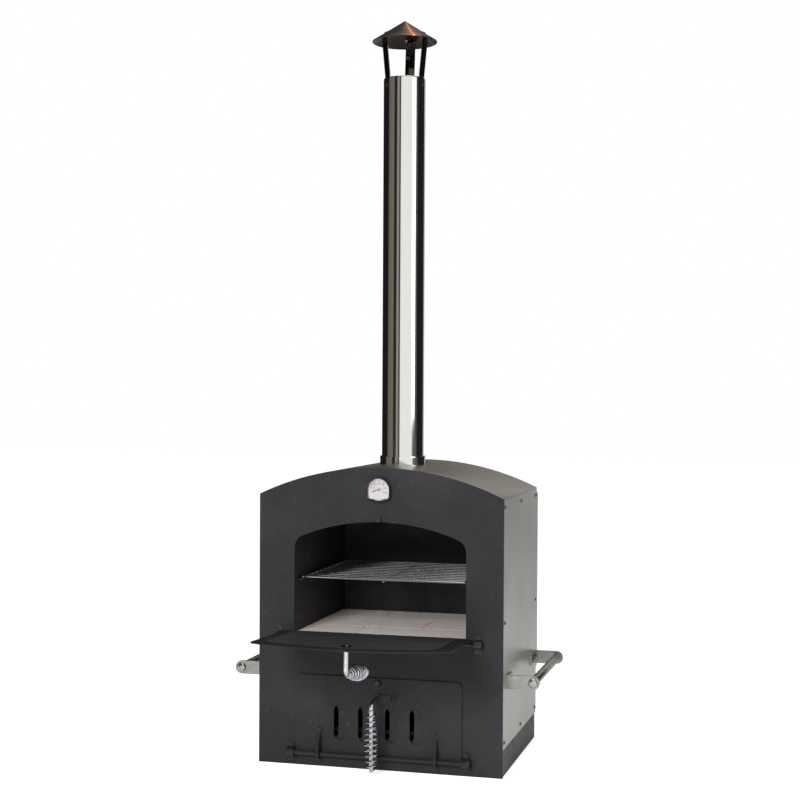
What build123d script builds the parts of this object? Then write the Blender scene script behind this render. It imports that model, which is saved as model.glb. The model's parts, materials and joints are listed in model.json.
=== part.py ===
from build123d import *
import os
from math import cos, radians, sin, sqrt, tan

# Wood fired pizza oven: arched steel casing, cooking chamber over a firebox, chimney with a rain cap.
# Millimetres. +Z is up, the doors face -Y, the origin is the centre of the base's underside.

# ---- overall sizes ----
body_width = 460.0
body_depth = 340.0
wall_height = 498.0
arch_rise = 52.0
front_thick = 3.0
sheet = 1.5
running_gap = 0.05
seat_gap = 0.3

# ---- base and casing ----
tray_height = 76.0
tray_wall = 2.0
skirt_height = 50.0
flange_width = 12.0
cover_depth = 25.0
cover_bottom = 135.0
cover_inset = 2.0
cover_top_drop = 8.0
cover_corner = 6.0
casing_screw_radius = 3.5
casing_screw_head = 2.0
casing_screw_edge = 12.0
casing_screw_low = 62.0
casing_screw_middle = 276.0
casing_screw_top_drop = 15.0

# ---- chamber and firebox ----
side_wool = 64.0
rear_wool = 17.0
crown_gap = 25.0
mouth_step = 1.0
mouth_bottom = 240.0
mouth_head = 71.0
mouth_radius = 395.0
mouth_corner = 25.0
fire_mouth_step = 23.0
fire_mouth_bottom = 30.0
fire_mouth_top = 150.0
tile_thick = 15.0
tile_rows = 3
tile_joint = 0.8
tile_offset = 53.0
tile_side_gap = 1.0
tile_chamfer = 0.6
shelf_thick = 3.0
shelf_drop = 11.0
shelf_back_gap = 16.7
ledge_size = 18.0
ledge_wall = 2.0
ledge_setback = 2.0
grate_top = 70.0
grate_thick = 8.0
grate_side_gap = 3.0
grate_back_gap = 11.7
grate_corner = 6.0
grate_slot_count = 9
grate_slot_width = 14.0
grate_slot_end = 25.0
pan_side_gap = 4.0
pan_back_gap = 16.7
pan_height = 24.0
pan_wall = 1.2
pan_corner = 8.0
front_setback = 15.0

# ---- cooking rack ----
rack_height = 343.0
rack_side_gap = 9.0
rack_front = 23.0
rack_back_gap = 20.0
rack_frame_radius = 3.0
rack_wire_radius = 2.0
rack_end_wire_radius = 2.6
rack_wire_count = 12
rack_stay_drop = 3.4
rail_width = 12.0
rail_lead = 8.0

# ---- chimney ----
flue_y = -6.0
pipe_radius = 40.0
pipe_wall = 1.2
pipe_top = 1285.0
collar_wall = 3.5
collar_stand = 15.0
collar_drop = 3.0
pipe_seat = 4.0
brim_radius = 62.0
brim_height = 1357.0
cone_rise = 40.0
cone_sheet = 1.5
strap_width = 19.0
strap_thick = 1.5
strap_foot = 28.0
strap_rise = 2.0
strap_flare = 8.0
strap_tab = 9.0
strap_angles = (90.0, 225.0, 345.0)
rivet_radius = 3.5
rivet_height = 1.5

# ---- thermometer ----
gauge_drop = 39.5
gauge_half = 22.0
gauge_skirt = 19.0
gauge_corner = 7.0
gauge_depth = 9.0
gauge_wall = 2.0
dial_thick = 1.0
lens_thick = 1.2
lens_recess = 0.6
needle_length = 12.0
needle_tail = 4.5
needle_width = 1.2
needle_thick = 0.8
needle_lift = 0.5
needle_hub_radius = 2.0
needle_drop = 18.0
stem_radius = 3.0
stem_reach = 60.0
stem_nut_radius = 7.0
stem_nut_thick = 5.0

# ---- doors, shared ----
hinge_standoff = 11.0
hinge_rod_radius = 4.0
hinge_rod_overhang = 1.0
edge_chamfer = 0.8
door_thick = 3.0
door_gap = 0.5
door_heel = 3.0
saddle_width = 15.0
saddle_length = 36.0
saddle_foot = 2.0
saddle_wall = 3.0
saddle_bolt_spacing = 24.0
saddle_side_gap = 1.5
bolt_radius = 2.4
bolt_head_radius = 4.5
bolt_head_height = 3.0
rib_thick = 4.0
rib_length = 36.0
rib_spacing = 110.0
rib_end_gap = 0.4
rib_nose = 4.0
rib_shoulder_run = 0.6
rib_shoulder_rise = 0.7
rib_bolt_step = 7.0

# ---- upper door, standing open ----
upper_hinge_drop = 2.0
upper_rest_tilt = 2.5
upper_door_side_lap = 14.5
upper_door_top_lap = 16.0
upper_door_arch = 47.0
upper_door_corner = 5.0
upper_liner_inset = 8.0
upper_liner_hole_gap = 4.0
upper_catch_rise = 5.5
upper_grip_cant = 6.0

# ---- lower door, standing closed ----
lower_hinge_drop = 5.0
lower_door_side_lap = 16.0
lower_door_top_lap = 18.0
lower_door_corner = 9.0
lower_catch_rise = 9.0
slot_width = 24.0
slot_height = 65.0
slot_middle = 83.5
slot_places = (-71.5, -25.5, 25.5, 71.5)
shutter_half = 100.0
shutter_height = 76.0
shutter_thick = 1.5
shutter_slot_width = 22.0
shutter_slot_height = 61.0
shutter_gap = 0.4
shutter_rest_shift = -15.0
guide_half = 125.0
guide_lip = 4.0
guide_foot = 4.5
guide_wall = 1.5
guide_ring_gap = 7.0

# ---- latch handles ----
latch_reach = 28.0
lever_thick = 3.0
lever_width = 14.0
lever_end = 34.0
lever_hub_radius = 9.0
lever_corner = 2.5
lever_notch_gap = 0.3
lever_notch_sweep = 30.0
catch_neck_radius = 2.6
catch_head_radius = 5.2
catch_head_height = 2.7
catch_hole_radius = 6.2
handle_rod_radius = 4.0
handle_reach = 42.0
handle_bend = 9.0
handle_drop = 124.0
grip_length = 112.0
grip_radius = 14.5
grip_end_radius = 6.5
grip_start_gap = 1.0
collar_ring_radius = 7.0
collar_ring_thick = 3.0
rod_stub = 1.0

# ---- carrying handles ----
bracket_end_inset = 36.0
bracket_z = 167.0
bracket_reach = 60.0
bracket_height = 25.0
bracket_thick = 4.0
bracket_flange = 34.0
bracket_bolt_inset = 8.0
bar_radius = 8.0
bar_screw_radius = 3.9
bar_screw_head_radius = 8.5
bar_screw_head = 5.0
bar_screw_length = 30.0

# ---- worked out from the sizes above ----
half_width = body_width / 2
front_y = -body_depth / 2
back_y = body_depth / 2
panel_back = front_y + front_thick
casing_back = back_y - sheet
roof_radius = (half_width**2 + arch_rise**2) / (2 * arch_rise)
roof_centre = wall_height + arch_rise - roof_radius
roof_inner = roof_radius - sheet
crown_outer = roof_inner - crown_gap
crown_inner = crown_outer - sheet
liner_half = half_width - 2 * sheet - side_wool
liner_outer = liner_half + sheet
chamber_back = casing_back - sheet - rear_wool
liner_front = panel_back + seat_gap
mouth_half = liner_half - mouth_step
mouth_apex = roof_centre + crown_inner - mouth_head
fire_mouth_half = liner_half - fire_mouth_step
shelf_top = mouth_bottom - shelf_drop
shelf_depth = chamber_back - shelf_back_gap - liner_front
tile_row_depth = shelf_depth / tile_rows
rack_half = liner_half - rack_side_gap
rack_start = front_y + rack_front
rack_end = chamber_back - rack_back_gap
gauge_height = wall_height + arch_rise - gauge_drop
bracket_y = back_y - bracket_end_inset
collar_radius = pipe_radius + collar_wall
upper_hinge_height = mouth_bottom - upper_hinge_drop
upper_catch_height = mouth_apex + upper_catch_rise
upper_door_half = mouth_half + upper_door_side_lap
upper_door_apex = mouth_apex + upper_door_top_lap - upper_hinge_height
upper_door_shoulder = upper_door_apex - upper_door_arch
lower_hinge_height = fire_mouth_bottom - lower_hinge_drop
lower_catch_height = fire_mouth_top + lower_catch_rise
lower_door_half = fire_mouth_half + lower_door_side_lap
lower_door_top = fire_mouth_top + lower_door_top_lap
hinge_y = front_y - hinge_standoff
skin_inner = door_gap - hinge_standoff
skin_outer = skin_inner + door_thick
upper_latch_pivot = upper_catch_height - upper_hinge_height - latch_reach
lower_latch_pivot = lower_catch_height - lower_hinge_height - latch_reach
upper_saddle_x = upper_door_half + saddle_side_gap + saddle_width / 2
lower_saddle_x = lower_door_half + saddle_side_gap + saddle_width / 2
bar_x = half_width + bracket_reach - bracket_height / 2
slope = cone_rise / brim_radius
cone_drop = cone_sheet * sqrt(1 + slope**2)
strap_face = sqrt((pipe_radius - pipe_wall) ** 2 - (strap_width / 2) ** 2)

upper_tilt = radians(upper_rest_tilt)
upper_normal = (0, -sin(upper_tilt), -cos(upper_tilt))
upper_plane = Plane((0, hinge_y, upper_hinge_height), x_dir=(1, 0, 0), z_dir=upper_normal)
lower_plane = Plane((0, hinge_y, lower_hinge_height), x_dir=(1, 0, 0), z_dir=(0, -1, 0))


def facing_front(y):
    # sketch plane at depth y: its x is across, its y is up, and it looks to the front
    return Plane.XZ.offset(-y)


def arch_height(x, radius):
    return roof_centre + sqrt(radius**2 - x**2)


def arched_face(half, bottom, radius):
    # a flat plate outline whose top edge follows an arc about the roof's centre
    side = arch_height(half, radius)
    with BuildSketch() as outline:
        with BuildLine():
            Polyline((-half, side), (-half, bottom), (half, bottom), (half, side))
            ThreePointArc((half, side), (0, roof_centre + radius), (-half, side))
        make_face()
    return outline.sketch


def mouth_face(inset=0.0):
    # the cooking mouth: straight sides, a shallow arc above and rounded upper corners
    half = mouth_half - inset
    bottom = mouth_bottom + inset
    radius = mouth_radius - inset
    centre = mouth_apex - mouth_radius
    side = centre + sqrt(radius**2 - half**2)
    with BuildSketch() as outline:
        with BuildLine():
            Polyline((-half, side), (-half, bottom), (half, bottom), (half, side))
            ThreePointArc((half, side), (0, centre + radius), (-half, side))
        make_face()
        fillet(outline.vertices().group_by(Axis.Y)[-1], mouth_corner)
    return outline.sketch


def arched_strip(outer, inner, half, front, back, hole=0.0):
    # a curved sheet that runs from front to back, with a round hole for the flue
    with BuildPart() as strip:
        with BuildSketch(facing_front(back)):
            with Locations((0, roof_centre)):
                Circle(outer)
                Circle(inner, mode=Mode.SUBTRACT)
            with Locations((0, roof_centre + outer)):
                Rectangle(2 * half, 2 * outer, mode=Mode.INTERSECT)
        extrude(amount=back - front)
        split(bisect_by=Plane.XY.offset(roof_centre), keep=Keep.TOP)
        with BuildSketch(Plane.XY.offset(roof_centre)):
            with Locations((0, flue_y)):
                Circle(hole)
        extrude(amount=2 * outer, mode=Mode.SUBTRACT)
    return strip


# ---- casing ----
with BuildPart() as base_tray:
    with BuildSketch():
        with Locations((0, (panel_back + casing_back) / 2)):
            Rectangle(body_width - 2 * sheet, casing_back - panel_back - 2 * sheet)
    extrude(amount=tray_height)
    open_faces = [base_tray.faces().sort_by(Axis.Z)[-1], base_tray.faces().sort_by(Axis.Y)[0]]
    offset(amount=-tray_wall, openings=open_faces)

catch_places = [(0, lower_catch_height), (0, upper_catch_height)]
saddle_places = []
for saddle_x, saddle_z in ((upper_saddle_x, upper_hinge_height), (lower_saddle_x, lower_hinge_height)):
    for side in (-1, 1):
        saddle_places.append((side * saddle_x, saddle_z))
saddle_bolt_places = []
for saddle_x, saddle_z in saddle_places:
    for step in (-1, 1):
        saddle_bolt_places.append((saddle_x, saddle_z + step * saddle_bolt_spacing / 2))

with BuildPart() as front_panel:
    with BuildSketch(facing_front(panel_back)):
        add(arched_face(half_width, 0, roof_radius))
        add(mouth_face(), mode=Mode.SUBTRACT)
        with Locations((0, (fire_mouth_bottom + fire_mouth_top) / 2)):
            Rectangle(2 * fire_mouth_half, fire_mouth_top - fire_mouth_bottom, mode=Mode.SUBTRACT)
        with Locations(*saddle_bolt_places):
            Circle(bolt_radius + running_gap, mode=Mode.SUBTRACT)
        with Locations(*catch_places):
            Circle(catch_neck_radius, mode=Mode.SUBTRACT)
        with Locations((0, gauge_height)):
            Circle(stem_radius, mode=Mode.SUBTRACT)
    extrude(amount=front_thick)

side_top = arch_height(half_width, roof_inner)
bracket_bolt_places = []
for side in (-1, 1):
    for step in (bracket_thick / 2 + bracket_bolt_inset, bracket_flange - bracket_bolt_inset):
        bracket_bolt_places.append((side * (bracket_y - step), bracket_z))

with BuildPart() as right_side_panel:
    with BuildSketch(Plane.XY.offset(skirt_height)) as side_profile:
        with BuildLine():
            Polyline(
                (half_width - flange_width, panel_back),
                (half_width, panel_back),
                (half_width, casing_back),
                (half_width - flange_width, casing_back),
            )
            offset(amount=sheet, side=Side.LEFT)
        make_face()
        outer_corners = side_profile.vertices().group_by(Axis.X)[-1]
        fillet(outer_corners, sheet * 0.8)
    extrude(amount=side_top - skirt_height)
    with BuildSketch(Plane.YZ.offset(half_width - 2 * sheet)):
        with Locations(*bracket_bolt_places):
            Circle(bolt_radius + running_gap)
    extrude(amount=3 * sheet, mode=Mode.SUBTRACT)

with BuildPart() as left_side_panel:
    add(mirror(right_side_panel.part, about=Plane.YZ))

roof_sheet = arched_strip(roof_radius, roof_inner, half_width, panel_back, casing_back, collar_radius)

with BuildPart() as rear_panel:
    with BuildSketch(facing_front(back_y)):
        add(arched_face(half_width, skirt_height, roof_radius))
    extrude(amount=sheet)

with BuildPart() as rear_cover:
    with BuildSketch(facing_front(back_y + cover_depth)):
        cover_top = wall_height - cover_top_drop
        with Locations((0, (cover_bottom + cover_top) / 2)):
            RectangleRounded(body_width - 2 * cover_inset, cover_top - cover_bottom, cover_corner)
    extrude(amount=cover_depth)
    offset(amount=-sheet, openings=rear_cover.faces().sort_by(Axis.Y)[0])

# ---- inner shell ----
liner_base = tray_wall
liner_top = arch_height(liner_outer, crown_inner) - seat_gap

with BuildPart() as right_liner:
    with BuildSketch(Plane.YZ.offset(liner_half)):
        with Locations(((liner_front + chamber_back) / 2, (liner_base + liner_top) / 2)):
            Rectangle(chamber_back - liner_front, liner_top - liner_base)
    extrude(amount=sheet)

with BuildPart() as left_liner:
    add(mirror(right_liner.part, about=Plane.YZ))

with BuildPart() as rear_liner:
    with BuildSketch(facing_front(chamber_back + sheet)):
        add(arched_face(liner_outer, liner_base, crown_outer))
    extrude(amount=sheet)

crown_liner = arched_strip(crown_outer, crown_inner, liner_outer, liner_front, chamber_back, collar_radius)

with BuildPart() as crown_insulation:
    crown_wool = arched_strip(
        roof_inner - seat_gap,
        crown_outer + seat_gap,
        liner_outer,
        panel_back + front_setback,
        chamber_back,
        collar_radius + seat_gap,
    )
    add(crown_wool.part)

wool_bottom = tray_height + seat_gap
wool_side_top = arch_height(half_width - sheet, roof_inner) - seat_gap
with BuildPart() as wall_insulation:
    wool_inner = liner_outer + seat_gap
    wool_outer = half_width - sheet - seat_gap
    with BuildSketch(Plane.XY.offset(wool_bottom)):
        for side in (-1, 1):
            with Locations((side * (wool_inner + wool_outer) / 2, 0)):
                Rectangle(wool_outer - wool_inner, body_depth - 2 * front_setback)
    extrude(amount=wool_side_top - wool_bottom)
    with BuildSketch(Plane.XY.offset(wool_bottom)):
        wool_front = chamber_back + sheet + seat_gap
        wool_back = casing_back - seat_gap
        with Locations((0, (wool_front + wool_back) / 2)):
            Rectangle(2 * liner_half, wool_back - wool_front)
    extrude(amount=arch_height(liner_half, crown_outer) - wool_bottom)

with BuildPart() as firebox_floor:
    with BuildSketch(facing_front(chamber_back - seat_gap)):
        with BuildLine():
            floor_edge = liner_half - seat_gap
            Polyline(
                (-floor_edge, liner_base),
                (-floor_edge, fire_mouth_bottom),
                (floor_edge, fire_mouth_bottom),
                (floor_edge, liner_base),
            )
            offset(amount=sheet, side=Side.RIGHT)
        make_face()
    extrude(amount=chamber_back - seat_gap - liner_front)


def ledge_pair(top, size, front, back):
    # two angle strips, one on each liner, whose upper flanges carry what rests at this height
    with BuildPart() as pair:
        with BuildSketch(facing_front(back)):
            with BuildLine():
                Polyline(
                    (liner_half, top),
                    (liner_half, top - size),
                    (liner_half - ledge_wall, top - size),
                    (liner_half - ledge_wall, top - ledge_wall),
                    (liner_half - size, top - ledge_wall),
                    (liner_half - size, top),
                    close=True,
                )
            make_face()
        extrude(amount=back - front)
        mirror(about=Plane.YZ)
    return pair


with BuildPart() as liner_ledges:
    for ledge_top in (shelf_top - shelf_thick, grate_top - grate_thick):
        add(ledge_pair(ledge_top, ledge_size, liner_front + ledge_setback, liner_front + shelf_depth).part)

rail_top = rack_height - rack_frame_radius - seat_gap
rack_rails = ledge_pair(rail_top, rail_width, rack_start - rail_lead, chamber_back)

with BuildPart() as hearth_shelf:
    with BuildSketch(Plane.XY.offset(shelf_top - shelf_thick)):
        with Locations((0, liner_front + shelf_depth / 2)):
            Rectangle(2 * (liner_half - seat_gap), shelf_depth)
    extrude(amount=shelf_thick)

with BuildPart() as hearth_tiles:
    tile_edge = liner_half - tile_side_gap
    with BuildSketch(Plane.XY.offset(shelf_top)):
        for row in range(tile_rows):
            row_y = liner_front + (row + 0.5) * tile_row_depth
            split_x = tile_offset if row % 2 else -tile_offset
            for low, high in ((-tile_edge, split_x), (split_x, tile_edge)):
                with Locations(((low + high) / 2, row_y)):
                    Rectangle(high - low - tile_joint, tile_row_depth - tile_joint)
    extrude(amount=tile_thick)
    chamfer(hearth_tiles.edges().group_by(Axis.Z)[-1], tile_chamfer)

with BuildPart() as fire_grate:
    grate_front = liner_front + front_setback
    grate_back = chamber_back - grate_back_gap
    grate_width = 2 * (liner_half - grate_side_gap)
    grate_depth = grate_back - grate_front
    with BuildSketch(Plane.XY.offset(grate_top - grate_thick)):
        with Locations((0, (grate_front + grate_back) / 2)):
            RectangleRounded(grate_width, grate_depth, grate_corner)
            with GridLocations(grate_width / (grate_slot_count + 0.5), 0, grate_slot_count, 1):
                slot_length = grate_depth - 2 * grate_slot_end
                SlotOverall(slot_length, grate_slot_width, rotation=90, mode=Mode.SUBTRACT)
    extrude(amount=grate_thick)

with BuildPart() as ash_pan:
    pan_front = liner_front + front_setback
    pan_back = chamber_back - pan_back_gap
    with BuildSketch(Plane.XY.offset(fire_mouth_bottom)):
        with Locations((0, (pan_front + pan_back) / 2)):
            RectangleRounded(2 * (fire_mouth_half - pan_side_gap), pan_back - pan_front, pan_corner)
    extrude(amount=pan_height)
    offset(amount=-pan_wall, openings=ash_pan.faces().sort_by(Axis.Z)[-1])

# ---- cooking rack: side rods, cross wires that are thicker at both ends, and a stay below them ----
with BuildPart() as cooking_rack:
    rack_depth = rack_end - rack_start
    with BuildSketch(facing_front(rack_end)):
        with Locations((-rack_half, rack_height), (rack_half, rack_height)):
            Circle(rack_frame_radius)
    extrude(amount=rack_depth)
    with BuildSketch(facing_front(rack_end - rack_frame_radius)):
        with Locations((0, rack_height - rack_stay_drop)):
            Circle(rack_wire_radius)
    extrude(amount=rack_depth - 2 * rack_frame_radius)
    with BuildSketch(Plane.YZ.offset(-rack_half)):
        for index in range(rack_wire_count):
            wire_y = rack_start + rack_frame_radius
            wire_y += index * (rack_depth - 2 * rack_frame_radius) / (rack_wire_count - 1)
            at_end = index in (0, rack_wire_count - 1)
            with Locations((wire_y, rack_height)):
                Circle(rack_end_wire_radius if at_end else rack_wire_radius)
    extrude(amount=2 * rack_half)

# ---- chimney ----
with BuildPart() as flue_collar:
    collar_bottom = roof_centre + crown_inner - collar_drop
    with BuildSketch(Plane.XY.offset(collar_bottom)):
        with Locations((0, flue_y)):
            Circle(collar_radius)
            Circle(pipe_radius, mode=Mode.SUBTRACT)
    extrude(amount=wall_height + arch_rise + collar_stand - collar_bottom)

with BuildPart() as chimney_pipe:
    pipe_bottom = collar_bottom + pipe_seat
    with BuildSketch(Plane.XY.offset(pipe_bottom)):
        with Locations((0, flue_y)):
            Circle(pipe_radius)
            Circle(pipe_radius - pipe_wall, mode=Mode.SUBTRACT)
    extrude(amount=pipe_top - pipe_bottom)

flue_plane = Plane((0, flue_y, 0), x_dir=(1, 0, 0), z_dir=(0, -1, 0))
with BuildPart() as cap_cone:
    with BuildSketch(flue_plane):
        with BuildLine():
            Polyline(
                (0, brim_height + cone_rise),
                (brim_radius, brim_height),
                (brim_radius, brim_height - cone_drop),
                (0, brim_height + cone_rise - cone_drop),
                close=True,
            )
        make_face()
    revolve(axis=Axis((0, flue_y, 0), (0, 0, 1)))


def radial_plane(angle):
    # upright plane through the flue's axis: its x points outwards at this angle, its y is up
    out = (cos(radians(angle)), sin(radians(angle)), 0)
    return Plane((0, flue_y, 0), x_dir=out, z_dir=(out[1], -out[0], 0))


def cone_underside(radius):
    # the height at which a flat strap, at this radius, touches the cone with its two edges
    edge = sqrt(radius**2 + (strap_width / 2) ** 2)
    return brim_height + (brim_radius - edge) * slope - cone_drop


with BuildPart() as cap_straps:
    flare_radius = strap_face + strap_flare
    tab_run = strap_tab / sqrt(1 + slope**2)
    for angle in strap_angles:
        with BuildSketch(radial_plane(angle)):
            with BuildLine():
                Polyline(
                    (strap_face, pipe_top - strap_foot),
                    (strap_face, pipe_top + strap_rise),
                    (flare_radius, cone_underside(flare_radius)),
                    (flare_radius - tab_run, cone_underside(flare_radius - tab_run)),
                )
                offset(amount=strap_thick, side=Side.LEFT)
            make_face()
        extrude(amount=strap_width / 2, both=True)

with BuildPart() as cap_rivets:
    rivet_height_on_pipe = pipe_top - strap_foot / 2
    rivet_cone_radius = flare_radius - tab_run / 2
    for angle in strap_angles:
        out = radial_plane(angle).x_dir
        foot = Vector(0, flue_y, rivet_height_on_pipe) + out * pipe_radius
        with BuildSketch(Plane(foot, z_dir=out)):
            Circle(rivet_radius)
        extrude(amount=rivet_height)
        cone_normal = (out * slope + Vector(0, 0, 1)).normalized()
        cone_point = Vector(0, flue_y, brim_height + (brim_radius - rivet_cone_radius) * slope)
        with BuildSketch(Plane(cone_point + out * rivet_cone_radius, z_dir=cone_normal)):
            Circle(rivet_radius)
        extrude(amount=rivet_height)


# ---- thermometer ----
def gauge_face(inset):
    # half-round head on a square skirt with rounded lower corners
    half = gauge_half - inset
    skirt = gauge_skirt - inset
    with BuildSketch() as outline:
        Circle(half)
        with Locations((0, -skirt / 2)):
            Rectangle(2 * half, skirt)
        fillet(outline.vertices().group_by(Axis.Y)[0], max(gauge_corner - inset, 1))
    return outline.sketch.moved(Location((0, gauge_height)))


with BuildPart() as thermometer_case:
    with BuildSketch(facing_front(front_y)):
        add(gauge_face(0))
    extrude(amount=gauge_depth)
    with BuildSketch(facing_front(front_y - gauge_wall)):
        add(gauge_face(gauge_wall))
    extrude(amount=gauge_depth - gauge_wall, mode=Mode.SUBTRACT)

with BuildPart() as thermometer_dial:
    with BuildSketch(facing_front(front_y - gauge_wall)):
        add(gauge_face(gauge_wall + running_gap))
    extrude(amount=dial_thick)

with BuildPart() as thermometer_lens:
    with BuildSketch(facing_front(front_y - gauge_depth + lens_thick + lens_recess)):
        add(gauge_face(gauge_wall + running_gap))
    extrude(amount=lens_thick)

dial_y = front_y - gauge_wall - dial_thick
with BuildPart() as thermometer_needle:
    with BuildSketch(facing_front(dial_y - needle_lift)):
        with Locations((0, gauge_height)):
            Circle(needle_hub_radius)
            with Locations(Rotation(0, 0, 180 + needle_drop)):
                with Locations(((needle_length - needle_tail) / 2, 0)):
                    Rectangle(needle_length + needle_tail, needle_width)
    extrude(amount=needle_thick)

with BuildPart() as thermometer_stem:
    with BuildSketch(facing_front(front_y + stem_reach)):
        with Locations((0, gauge_height)):
            Circle(stem_radius)
    extrude(amount=stem_reach)
    with BuildSketch(facing_front(panel_back + stem_nut_thick)):
        with Locations((0, gauge_height)):
            RegularPolygon(stem_nut_radius, 6)
    extrude(amount=stem_nut_thick)


# ---- hinge saddles, catches and their bolts ----
def saddle_pair(places):
    with BuildPart() as pair:
        for place_x, place_z in places:
            with BuildSketch(Plane.YZ.offset(place_x - saddle_width / 2)):
                with Locations((hinge_y, place_z)):
                    Circle(hinge_rod_radius + saddle_wall)
                with Locations(((hinge_y + front_y) / 2, place_z)):
                    Rectangle(hinge_standoff, 2 * (hinge_rod_radius + saddle_wall))
                with Locations((front_y - saddle_foot / 2, place_z)):
                    Rectangle(saddle_foot, saddle_length)
                with Locations((hinge_y, place_z)):
                    Circle(hinge_rod_radius + running_gap, mode=Mode.SUBTRACT)
            extrude(amount=saddle_width)
        with BuildSketch(facing_front(front_y)):
            with Locations(*saddle_bolt_places):
                Circle(bolt_radius + running_gap)
        extrude(amount=saddle_foot, mode=Mode.SUBTRACT)
    return pair


upper_hinge_saddles = saddle_pair(saddle_places[:2])
lower_hinge_saddles = saddle_pair(saddle_places[2:])

with BuildPart() as saddle_bolts:
    with BuildSketch(facing_front(panel_back)):
        with Locations(*saddle_bolt_places):
            Circle(bolt_radius)
    extrude(amount=front_thick + saddle_foot)
    with BuildSketch(facing_front(front_y - saddle_foot)):
        with Locations(*saddle_bolt_places):
            RegularPolygon(bolt_head_radius, 6)
    extrude(amount=bolt_head_height)

lever_low = skin_outer + seat_gap
catch_neck_end = hinge_y - (lever_low + lever_thick + seat_gap)
with BuildPart() as catch_studs:
    with BuildSketch(facing_front(panel_back)):
        with Locations(*catch_places):
            Circle(catch_neck_radius)
    extrude(amount=panel_back - catch_neck_end)
    with BuildSketch(facing_front(catch_neck_end)):
        with Locations(*catch_places):
            Circle(catch_head_radius)
    extrude(amount=catch_head_height)


# ---- parts that both doors share, drawn in the door's own plane ----
# its x runs along the hinge, its y from the hinge to the door's far edge, its z out of the closed door
def hinge_rod(plane, saddle_x):
    with BuildPart() as rod:
        end = saddle_x + saddle_width / 2 + hinge_rod_overhang
        with BuildSketch(plane * Plane.YZ.offset(-end)):
            Circle(hinge_rod_radius)
        extrude(amount=2 * end)
        chamfer(rod.edges().filter_by(GeomType.CIRCLE), edge_chamfer)
    return rod


def door_ribs(plane):
    with BuildPart() as ribs:
        end_radius = hinge_standoff - rib_end_gap
        for side in (-1, 1):
            with BuildSketch(plane * Plane.YZ.offset(side * rib_spacing - rib_thick / 2)):
                Circle(end_radius)
                with BuildLine():
                    Polyline(
                        (0, skin_outer),
                        (rib_length, skin_outer),
                        (rib_length, skin_outer + rib_nose),
                        (rib_length * rib_shoulder_run, end_radius * rib_shoulder_rise),
                        (0, end_radius),
                        close=True,
                    )
                make_face()
                with Locations((0, skin_outer - end_radius)):
                    Rectangle(4 * end_radius, 2 * end_radius, mode=Mode.SUBTRACT)
                Circle(hinge_rod_radius, mode=Mode.SUBTRACT)
            extrude(amount=rib_thick)
    return ribs


def handle_rod(plane, pivot, cant):
    # turned wire: through the door, out, round a bend and down inside the grip
    foot = skin_inner - collar_ring_thick - rod_stub
    knee = skin_outer + handle_reach
    lean = tan(radians(cant)) * handle_drop
    with BuildPart() as rod:
        with BuildLine() as path:
            points = [(0, pivot, foot), (0, pivot, knee), (0, pivot - handle_drop, knee + lean)]
            FilletPolyline(*[plane.from_local_coords(point) for point in points], radius=handle_bend)
        with BuildSketch(Plane(path.line @ 0, z_dir=path.line % 0)):
            Circle(handle_rod_radius)
        sweep()
    return rod


def handle_grip(plane, pivot, cant):
    # wound grip on the wire: a hollow barrel that is fullest at its middle
    knee = plane.from_local_coords(Vector(0, pivot, skin_outer + handle_reach))
    down = plane.from_local_coords(
        Vector(0, pivot - handle_drop, skin_outer + handle_reach + tan(radians(cant)) * handle_drop)
    )
    along = (down - knee).normalized()
    barrel_plane = Plane(knee, x_dir=plane.x_dir, z_dir=plane.x_dir.cross(along))
    start = handle_bend + grip_start_gap
    end = start + grip_length
    with BuildPart() as grip:
        with BuildSketch(barrel_plane):
            with BuildLine():
                Polyline((grip_end_radius, start), (handle_rod_radius, start), (handle_rod_radius, end))
                Line((handle_rod_radius, end), (grip_end_radius, end))
                ThreePointArc((grip_end_radius, end), (grip_radius, (start + end) / 2), (grip_end_radius, start))
            make_face()
        revolve(axis=Axis(knee, along))
    return grip


def latch_lever(plane, pivot):
    # flat bar on the wire; its side notch is curved about the wire, so it swings over the catch's neck
    with BuildPart() as lever:
        with BuildSketch(plane.offset(lever_low)):
            with Locations((0, pivot)):
                Circle(lever_hub_radius)
                with Locations((lever_end / 2, 0)):
                    Rectangle(lever_end, lever_width)
                Circle(handle_rod_radius, mode=Mode.SUBTRACT)
            with BuildLine():
                notch_path = CenterArc((0, pivot), latch_reach, 0, lever_notch_sweep)
            SlotArc(notch_path, 2 * (catch_neck_radius + lever_notch_gap), mode=Mode.SUBTRACT)
        extrude(amount=lever_thick)
        outer_edges = lever.edges().filter_by(Axis((0, 0, 0), plane.z_dir))
        fillet(outer_edges.sort_by(Axis.X)[-2:], lever_corner)
    return lever


def retaining_ring(plane, pivot):
    with BuildPart() as ring:
        with BuildSketch(plane.offset(skin_inner - seat_gap - collar_ring_thick)):
            with Locations((0, pivot)):
                Circle(collar_ring_radius)
                Circle(handle_rod_radius, mode=Mode.SUBTRACT)
        extrude(amount=collar_ring_thick)
    return ring


# ---- upper door ----
with BuildPart() as upper_door_skin:
    with BuildSketch(upper_plane.offset(skin_inner)) as upper_skin_face:
        with BuildLine():
            Polyline(
                (-upper_door_half, upper_door_shoulder),
                (-upper_door_half, -door_heel),
                (upper_door_half, -door_heel),
                (upper_door_half, upper_door_shoulder),
            )
            ThreePointArc(
                (upper_door_half, upper_door_shoulder),
                (0, upper_door_apex),
                (-upper_door_half, upper_door_shoulder),
            )
        make_face()
        fillet(upper_skin_face.vertices(), upper_door_corner)
        with Locations((0, upper_latch_pivot)):
            Circle(handle_rod_radius + running_gap, mode=Mode.SUBTRACT)
        with Locations((0, upper_latch_pivot + latch_reach)):
            Circle(catch_hole_radius, mode=Mode.SUBTRACT)
    extrude(amount=door_thick)

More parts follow.
